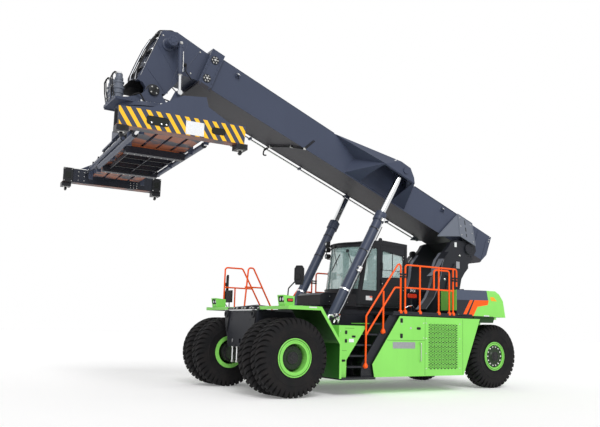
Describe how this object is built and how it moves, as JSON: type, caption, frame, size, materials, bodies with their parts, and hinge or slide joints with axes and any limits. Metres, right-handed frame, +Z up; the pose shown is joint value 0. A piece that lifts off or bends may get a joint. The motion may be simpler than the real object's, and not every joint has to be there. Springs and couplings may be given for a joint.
{
  "type": "reach stacker",
  "caption": "Wheeled container handler with a raised telescopic boom, a slewing container spreader, twin drive wheels and a cab on rails.",
  "frame": {"origin": "on the ground, under the middle of the drive axle", "axes": "+X forward, +Y to the machine's left, +Z up"},
  "size_m": [11.6995, 6.2492, 7.8701],
  "materials": {
    "frame_paint": "satin",
    "axle_paint": "satin",
    "green_paint": "gloss",
    "black_steel": "satin",
    "orange_paint": "gloss",
    "black_plastic": "matt",
    "cab_paint": "satin",
    "glass": "clear",
    "seat_cloth": "matt",
    "boom_paint": "satin",
    "cover_paint": "satin",
    "chrome": "polished",
    "tyre": "matt"
  },
  "bodies": {
    "chassis": {"chassis_frame": "frame_paint", "front_plate": "frame_paint", "drive_axle": "axle_paint", "steer_axle": "axle_paint", "boom_support": "frame_paint", "counterweight": "green_paint", "rear_hoods": "green_paint", "battery_boxes": "green_paint", "cooling_grilles": "black_steel", "front_cabinets": "green_paint", "stairs": "frame_paint", "deck": "frame_paint", "handrails": "orange_paint", "front_fenders": "green_paint", "headlamps": "green_paint", "mirrors": "black_plastic", "cab_rails": "frame_paint"},
    "front_wheel_left": {"front_tyres_left": "tyre", "front_rims_left": "green_paint"},
    "front_wheel_right": {"front_tyres_right": "tyre", "front_rims_right": "green_paint"},
    "knuckle_left": {"steering_knuckle_left": "axle_paint"},
    "knuckle_right": {"steering_knuckle_right": "axle_paint"},
    "rear_wheel_left": {"rear_tyre_left": "tyre", "rear_rim_left": "green_paint"},
    "rear_wheel_right": {"rear_tyre_right": "tyre", "rear_rim_right": "green_paint"},
    "boom": {"base_boom": "boom_paint", "tail_cover": "cover_paint"},
    "telescope": {"inner_boom": "boom_paint", "boom_head": "boom_paint"},
    "lift_barrel_left": {"lift_barrel_left": "boom_paint"},
    "lift_barrel_right": {"lift_barrel_right": "boom_paint"},
    "lift_rod_left": {"lift_rod_left": "chrome"},
    "lift_rod_right": {"lift_rod_right": "chrome"},
    "yoke": {"rotator_yoke": "boom_paint", "slew_motors": "black_steel"},
    "damper_barrels": {"damper_barrels": "boom_paint"},
    "damper_rods": {"damper_rods": "chrome"},
    "carriage": {"slew_carriage": "boom_paint"},
    "spreader": {"spreader_frame": "boom_paint"},
    "arm_left": {"spreader_arm_left": "boom_paint"},
    "arm_right": {"spreader_arm_right": "boom_paint"},
    "lock_front_left": {"twistlock_front_left": "black_steel"},
    "lock_rear_left": {"twistlock_rear_left": "black_steel"},
    "lock_front_right": {"twistlock_front_right": "black_steel"},
    "lock_rear_right": {"twistlock_rear_right": "black_steel"},
    "cab": {"cab_base": "cab_paint", "cab_shell": "cab_paint", "cab_glass": "glass", "seat": "seat_cloth", "steering_console": "black_plastic"},
    "door_left": {"cab_door_left": "cab_paint"},
    "door_right": {"cab_door_right": "cab_paint"}
  },
  "joints": [
    {"name": "front_wheel_left_spin", "type": "hinge", "parent": "chassis", "child": "front_wheel_left", "pos_m": [0, 1.51, 0.83], "axis": [0, 1, 0], "continuous": true},
    {"name": "front_wheel_right_spin", "type": "hinge", "parent": "chassis", "child": "front_wheel_right", "pos_m": [0, -1.51, 0.83], "axis": [0, 1, 0], "continuous": true},
    {"name": "steering_left", "type": "hinge", "parent": "chassis", "child": "knuckle_left", "pos_m": [-6.48, 0.98, 0.83], "axis": [0, 0, 1], "range_deg": [-50, 50]},
    {"name": "steering_right", "type": "hinge", "parent": "chassis", "child": "knuckle_right", "pos_m": [-6.48, -0.98, 0.83], "axis": [0, 0, 1], "range_deg": [-50, 50]},
    {"name": "rear_wheel_left_spin", "type": "hinge", "parent": "knuckle_left", "child": "rear_wheel_left", "pos_m": [-6.48, 1.33, 0.83], "axis": [0, 1, 0], "continuous": true},
    {"name": "rear_wheel_right_spin", "type": "hinge", "parent": "knuckle_right", "child": "rear_wheel_right", "pos_m": [-6.48, -1.33, 0.83], "axis": [0, 1, 0], "continuous": true},
    {"name": "boom_lift", "type": "hinge", "parent": "chassis", "child": "boom", "pos_m": [-6.45, 0, 3.75], "axis": [0, -1, 0], "range_deg": [-18.38, 35.62]},
    {"name": "telescope_slide", "type": "slide", "parent": "boom", "child": "telescope", "axis": [-0.9374, 0, -0.3482], "range_m": [-6.5, 0]},
    {"name": "damper_barrel_swing", "type": "hinge", "parent": "telescope", "child": "damper_barrels", "pos_m": [2.3, 0, 7.55], "axis": [0, -1, 0], "range_deg": [-5, 8]},
    {"name": "damper_stroke", "type": "slide", "parent": "damper_barrels", "child": "damper_rods", "axis": [-0.027, 0, -0.9996], "range_m": [-0.35, 0.2]},
    {"name": "yoke_swing", "type": "hinge", "parent": "telescope", "child": "yoke", "pos_m": [2.79978, 0, 6.40968], "axis": [0, 1, 0], "range_deg": [-20, 40]},
    {"name": "spreader_slew", "type": "hinge", "parent": "yoke", "child": "carriage", "pos_m": [2.79978, 0, 5.935], "axis": [0, 0, 1], "range_deg": [-90.69, 189.31]},
    {"name": "side_shift", "type": "slide", "parent": "carriage", "child": "spreader", "axis": [0.0752, 0.9972, 0], "range_m": [-0.5, 1.1]},
    {"name": "arm_left_slide", "type": "slide", "parent": "spreader", "child": "arm_left", "axis": [0.0752, 0.9972, 0], "range_m": [0, 3.066]},
    {"name": "arm_right_slide", "type": "slide", "parent": "spreader", "child": "arm_right", "axis": [-0.0752, -0.9972, 0], "range_m": [0, 3.066]},
    {"name": "lift_foot_left", "type": "hinge", "parent": "chassis", "child": "lift_barrel_left", "pos_m": [-1.53, 0.945, 1.531], "axis": [0, -1, 0], "range_deg": [-5, 8]},
    {"name": "lift_stroke_left", "type": "slide", "parent": "lift_barrel_left", "child": "lift_rod_left", "axis": [-0.4711, 0.0246, 0.8817], "range_m": [-1.1, 2.05]},
    {"name": "lift_foot_right", "type": "hinge", "parent": "chassis", "child": "lift_barrel_right", "pos_m": [-1.53, -0.945, 1.531], "axis": [0, -1, 0], "range_deg": [-5, 8]},
    {"name": "lift_stroke_right", "type": "slide", "parent": "lift_barrel_right", "child": "lift_rod_right", "axis": [-0.4711, -0.0246, 0.8817], "range_m": [-1.1, 2.05]},
    {"name": "lock_front_left_turn", "type": "hinge", "parent": "arm_left", "child": "lock_front_left", "pos_m": [4.05124, 2.53434, 4.8], "axis": [0, 0, 1], "range_deg": [0, 90]},
    {"name": "lock_rear_left_turn", "type": "hinge", "parent": "arm_left", "child": "lock_rear_left", "pos_m": [1.79863, 2.70411, 4.8], "axis": [0, 0, 1], "range_deg": [0, 90]},
    {"name": "lock_front_right_turn", "type": "hinge", "parent": "arm_right", "child": "lock_front_right", "pos_m": [3.61137, -3.30211, 4.8], "axis": [0, 0, 1], "range_deg": [0, 90]},
    {"name": "lock_rear_right_turn", "type": "hinge", "parent": "arm_right", "child": "lock_rear_right", "pos_m": [1.35876, -3.13234, 4.8], "axis": [0, 0, 1], "range_deg": [0, 90]},
    {"name": "cab_slide", "type": "slide", "parent": "chassis", "child": "cab", "axis": [1, 0, 0], "range_m": [0, 0.8]},
    {"name": "door_left_swing", "type": "hinge", "parent": "cab", "child": "door_left", "pos_m": [-4.022, 0.758, 2.9], "axis": [0, 0, 1], "range_deg": [0, 90]},
    {"name": "door_right_swing", "type": "hinge", "parent": "cab", "child": "door_right", "pos_m": [-4.022, -0.758, 2.9], "axis": [0, 0, -1], "range_deg": [0, 90]}
  ],
  "couplings": [
    {"joint": "steering_right", "follows": "steering_left", "ratio": 1},
    {"joint": "yoke_swing", "follows": "boom_lift", "ratio": 1},
    {"joint": "damper_barrel_swing", "follows": "boom_lift", "ratio": 0.094518},
    {"joint": "damper_stroke", "follows": "boom_lift", "m_per_rad": -0.49296},
    {"joint": "arm_right_slide", "follows": "arm_left_slide", "ratio": 1},
    {"joint": "lift_foot_left", "follows": "boom_lift", "ratio": 0.12533},
    {"joint": "lift_stroke_left", "follows": "boom_lift", "m_per_rad": 3.1881},
    {"joint": "lift_foot_right", "follows": "boom_lift", "ratio": 0.12533},
    {"joint": "lift_stroke_right", "follows": "boom_lift", "m_per_rad": 3.1881},
    {"joint": "lock_rear_left_turn", "follows": "lock_front_left_turn", "ratio": 1},
    {"joint": "lock_front_right_turn", "follows": "lock_front_left_turn", "ratio": 1},
    {"joint": "lock_rear_right_turn", "follows": "lock_front_left_turn", "ratio": 1}
  ]
}
